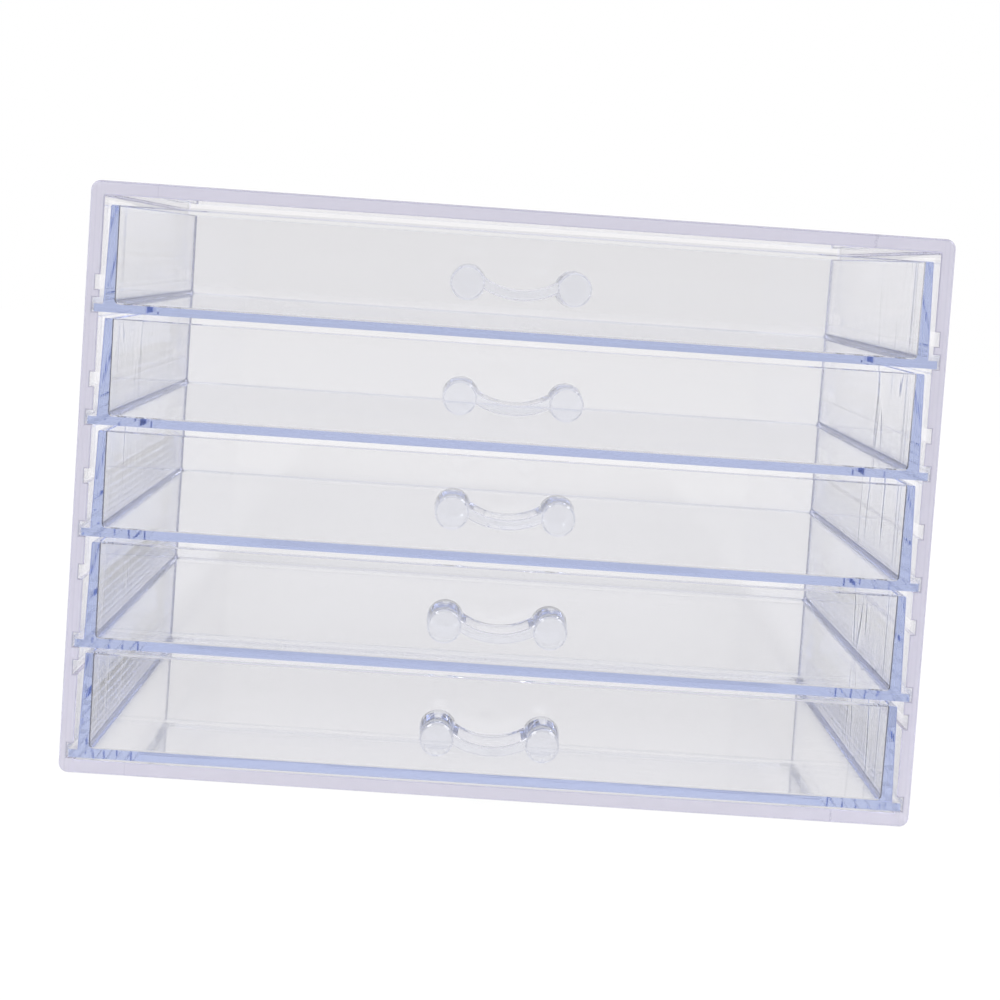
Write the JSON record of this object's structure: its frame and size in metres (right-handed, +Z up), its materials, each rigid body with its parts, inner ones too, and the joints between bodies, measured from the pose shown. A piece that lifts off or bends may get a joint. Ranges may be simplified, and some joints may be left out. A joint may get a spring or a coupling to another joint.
{
  "type": "drawer storage box",
  "caption": "Clear moulded tabletop chest, open at the front, with full-width drawers that slide on side runners, each with a two-post bow handle.",
  "frame": {"origin": "centre of the case's flat underside, on the surface it stands on", "axes": "+Z up, +X along the width to the right seen from the front, the drawers open towards -Y"},
  "size_m": [0.24, 0.169, 0.166],
  "materials": {
    "clear_case": "clear injection-moulded polystyrene, faint lavender tint",
    "clear_drawer": "clear injection-moulded polystyrene, faint blue tint"
  },
  "bodies": {
    "case": {"case": "clear_case"},
    "drawer_1": {"drawer_1": "clear_drawer"},
    "drawer_2": {"drawer_2": "clear_drawer"},
    "drawer_3": {"drawer_3": "clear_drawer"},
    "drawer_4": {"drawer_4": "clear_drawer"},
    "drawer_5": {"drawer_5": "clear_drawer"}
  },
  "joints": [
    {"name": "drawer_1_slide", "type": "slide", "parent": "case", "child": "drawer_1", "axis": [0, -1, 0], "range_m": [0, 0.11]},
    {"name": "drawer_2_slide", "type": "slide", "parent": "case", "child": "drawer_2", "axis": [0, -1, 0], "range_m": [0, 0.11]},
    {"name": "drawer_3_slide", "type": "slide", "parent": "case", "child": "drawer_3", "axis": [0, -1, 0], "range_m": [0, 0.11]},
    {"name": "drawer_4_slide", "type": "slide", "parent": "case", "child": "drawer_4", "axis": [0, -1, 0], "range_m": [0, 0.11]},
    {"name": "drawer_5_slide", "type": "slide", "parent": "case", "child": "drawer_5", "axis": [0, -1, 0], "range_m": [0, 0.11]}
  ]
}
